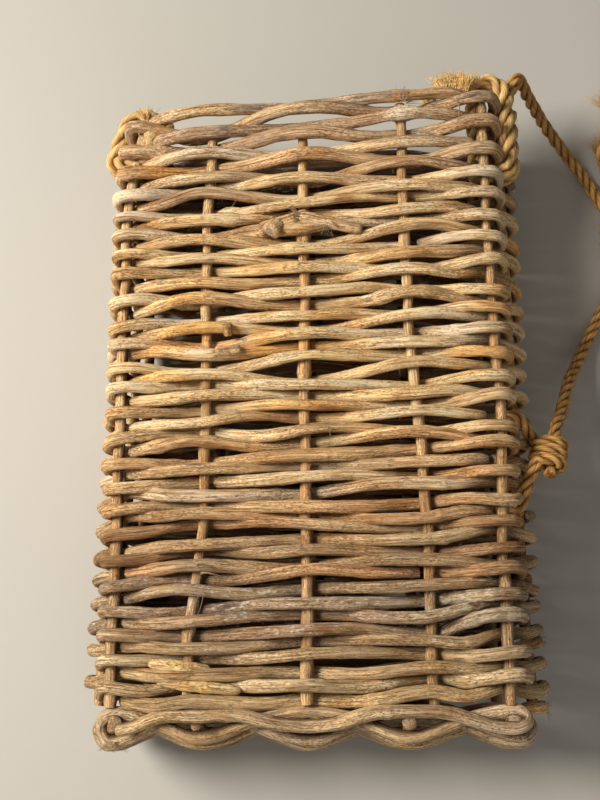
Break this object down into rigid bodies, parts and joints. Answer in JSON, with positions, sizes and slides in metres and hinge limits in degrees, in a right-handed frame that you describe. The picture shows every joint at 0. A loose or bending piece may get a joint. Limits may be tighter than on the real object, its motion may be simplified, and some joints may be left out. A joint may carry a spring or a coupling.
{
  "type": "wall basket",
  "caption": "Flat, tall pocket basket woven from round rattan rods on upright stakes, with an open mouth and a natural fibre rope tied to its side for hanging.",
  "frame": {"origin": "centre of the basket's footprint on the surface it lies on, with the rope left out", "axes": "the basket lies on its back: +Z from its back to its front, +Y from its base to its open mouth, +X to the side that the rope is tied to"},
  "size_m": [0.4085, 0.4874, 0.1113],
  "materials": {
    "stake": "bare weathered rattan, mid brown",
    "rod": "bare weathered rattan, pale tan to brown",
    "rim": "bare weathered rattan with greyish bark left on",
    "base": "bare weathered rattan, orange brown",
    "rope": "hairy three-strand natural fibre rope, golden tan"
  },
  "bodies": {
    "root": {"front_stake_1": "stake", "front_stake_2": "stake", "front_stake_3": "stake", "front_stake_4": "stake", "front_stake_5": "stake", "right_side_stake": "stake", "back_stake_1": "stake", "back_stake_2": "stake", "back_stake_3": "stake", "back_stake_4": "stake", "back_stake_5": "stake", "left_side_stake": "stake", "weaving_rod_a01": "rod", "weaving_rod_a02": "rod", "weaving_rod_a03": "rod", "weaving_rod_a04": "rod", "weaving_rod_a05": "rod", "weaving_rod_a06": "rod", "weaving_rod_a07": "rod", "weaving_rod_a08": "rod", "weaving_rod_a09": "rod", "weaving_rod_a10": "rod", "weaving_rod_b01": "rod", "weaving_rod_b02": "rod", "weaving_rod_b03": "rod", "weaving_rod_b04": "rod", "weaving_rod_b05": "rod", "weaving_rod_b06": "rod", "weaving_rod_b07": "rod", "weaving_rod_b08": "rod", "weaving_rod_b09": "rod", "weaving_rod_b10": "rod", "rim_rod_a1": "rim", "rim_rod_a2": "rim", "rim_rod_a3": "rim", "rim_rod_b1": "rim", "rim_rod_b2": "rim", "rim_rod_b3": "rim", "base_stick_1": "base", "base_stick_2": "base", "base_stick_3": "base", "base_stick_4": "base", "base_stick_5": "base", "base_weaving_rod": "base", "left_rim_hitch": "rope", "right_rim_hitch": "rope", "side_hitch": "rope", "rope": "rope", "rope_knot": "rope", "rope_tail_1": "rope", "rope_tail_2": "rope"}
  },
  "joints": []
}
